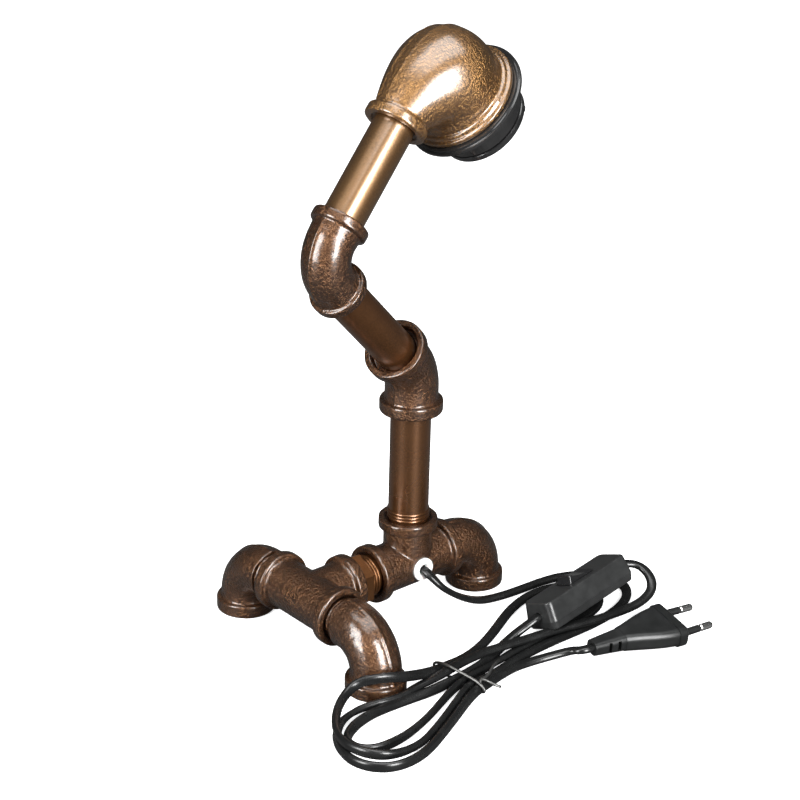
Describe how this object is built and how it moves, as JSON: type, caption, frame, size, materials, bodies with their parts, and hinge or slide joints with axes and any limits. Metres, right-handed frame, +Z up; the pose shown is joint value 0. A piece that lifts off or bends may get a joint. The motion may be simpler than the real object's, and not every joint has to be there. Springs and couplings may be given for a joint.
{
  "type": "pipe table lamp",
  "caption": "Table lamp built from screwed pipe fittings: tripod pipe base, swivelling pipe arm, reducing-elbow head with lampholder, and a corded rocker switch and flat plug.",
  "frame": {"origin": "on the table, under the middle of the lamp without its cord", "axes": "+Z up; the base spine runs along Y, single foot at -Y, cross tee with two feet at +Y; the cord leaves towards -X"},
  "size_m": [0.1946, 0.2339, 0.3167],
  "materials": {
    "fitting_bronze": "dark bronze metallic lacquer over a rough casting",
    "post_bronze": "bronze metallic lacquer, satin",
    "pipe_bronze": "dark bronze metallic lacquer, satin",
    "arm_bronze": "golden bronze metallic lacquer, smooth",
    "head_bronze": "golden bronze metallic lacquer",
    "black_moulding": "semi-gloss black",
    "white_insulator": "matt white",
    "shell_metal": "nickel-plated",
    "contact_bronze": "plain",
    "steel_screw": "zinc-plated",
    "brown_lead": "plain",
    "blue_lead": "plain",
    "white_nylon": "satin white",
    "cord_pvc": "smooth black, slightly shiny",
    "tie_wire": "dull dark grey",
    "black_plastic": "fine satin black",
    "plug_plastic": "satin black",
    "gloss_black": "polished black",
    "nickel": "nickel-plated"
  },
  "bodies": {
    "base": {"cross_tee": "fitting_bronze", "hex_nipple": "pipe_bronze", "post_tee": "fitting_bronze", "foot_elbow_left": "fitting_bronze", "foot_elbow_right": "fitting_bronze", "foot_elbow_front": "fitting_bronze", "post_pipe": "post_bronze", "cord_grommet": "white_nylon", "cord_anchor": "contact_bronze", "inner_cord_post": "cord_pvc", "lamp_cord": "cord_pvc", "lamp_cord_loop": "cord_pvc", "lamp_cord_end": "cord_pvc", "plug_cord_start": "cord_pvc", "plug_cord_end": "cord_pvc", "cord_hank": "cord_pvc", "hank_tie": "tie_wire", "switch_upper_shell": "black_plastic", "switch_lower_shell": "black_plastic", "switch_case_screws": "steel_screw", "switch_fulcrum": "contact_bronze", "switch_line_terminals": "contact_bronze", "switch_terminal_screws": "steel_screw", "switch_neutral_link": "contact_bronze", "plug_body": "plug_plastic", "plug_pins": "nickel", "plug_pin_sleeves": "plug_plastic"},
    "elbow": {"elbow_45": "fitting_bronze", "inner_cord_elbow": "cord_pvc"},
    "arm": {"mid_pipe": "pipe_bronze", "elbow_90": "fitting_bronze", "upper_pipe": "arm_bronze", "inner_cord_arm": "cord_pvc"},
    "head": {"head_elbow": "head_bronze", "lampholder_body": "black_moulding", "lampholder_core": "white_insulator", "core_screws": "steel_screw", "terminal_screws": "steel_screw", "screw_shell": "shell_metal", "centre_contact": "contact_bronze", "side_contact": "contact_bronze", "lead_live": "brown_lead", "lead_neutral": "blue_lead", "inner_cord_head": "cord_pvc"},
    "ring": {"shade_ring": "black_moulding"},
    "rocker": {"switch_rocker": "gloss_black"},
    "seesaw": {"switch_seesaw": "contact_bronze"}
  },
  "joints": [
    {"name": "post_swivel", "type": "hinge", "parent": "base", "child": "elbow", "pos_m": [0, -0.009, 0.11625], "axis": [0, 0, 1], "range_deg": [-90, 90]},
    {"name": "mid_swivel", "type": "hinge", "parent": "elbow", "child": "arm", "pos_m": [-0.00338, 0.00691, 0.15551], "axis": [-0.147, 0.6917, 0.7071], "range_deg": [-90, 90]},
    {"name": "head_swivel", "type": "hinge", "parent": "arm", "child": "head", "pos_m": [-0.00617, 0.01276, 0.27352], "axis": [0.1282, -0.6955, 0.707], "range_deg": [-90, 90]},
    {"name": "shade_ring_turn", "type": "hinge", "parent": "head", "child": "ring", "pos_m": [-0.00127, -0.04575, 0.26811], "axis": [0.0022, -0.7127, -0.7015], "continuous": true},
    {"name": "rocker_press", "type": "hinge", "parent": "base", "child": "rocker", "pos_m": [-0.06198, -0.07491, 0.0177], "axis": [0.9261, 0.058, -0.3729], "range_deg": [-24, 0]},
    {"name": "seesaw_rock", "type": "hinge", "parent": "base", "child": "seesaw", "pos_m": [-0.064, -0.07561, 0.01258], "axis": [0.9261, 0.058, -0.3729], "range_deg": [0, 10]}
  ],
  "couplings": [
    {"joint": "seesaw_rock", "follows": "rocker_press", "ratio": -0.41667}
  ]
}
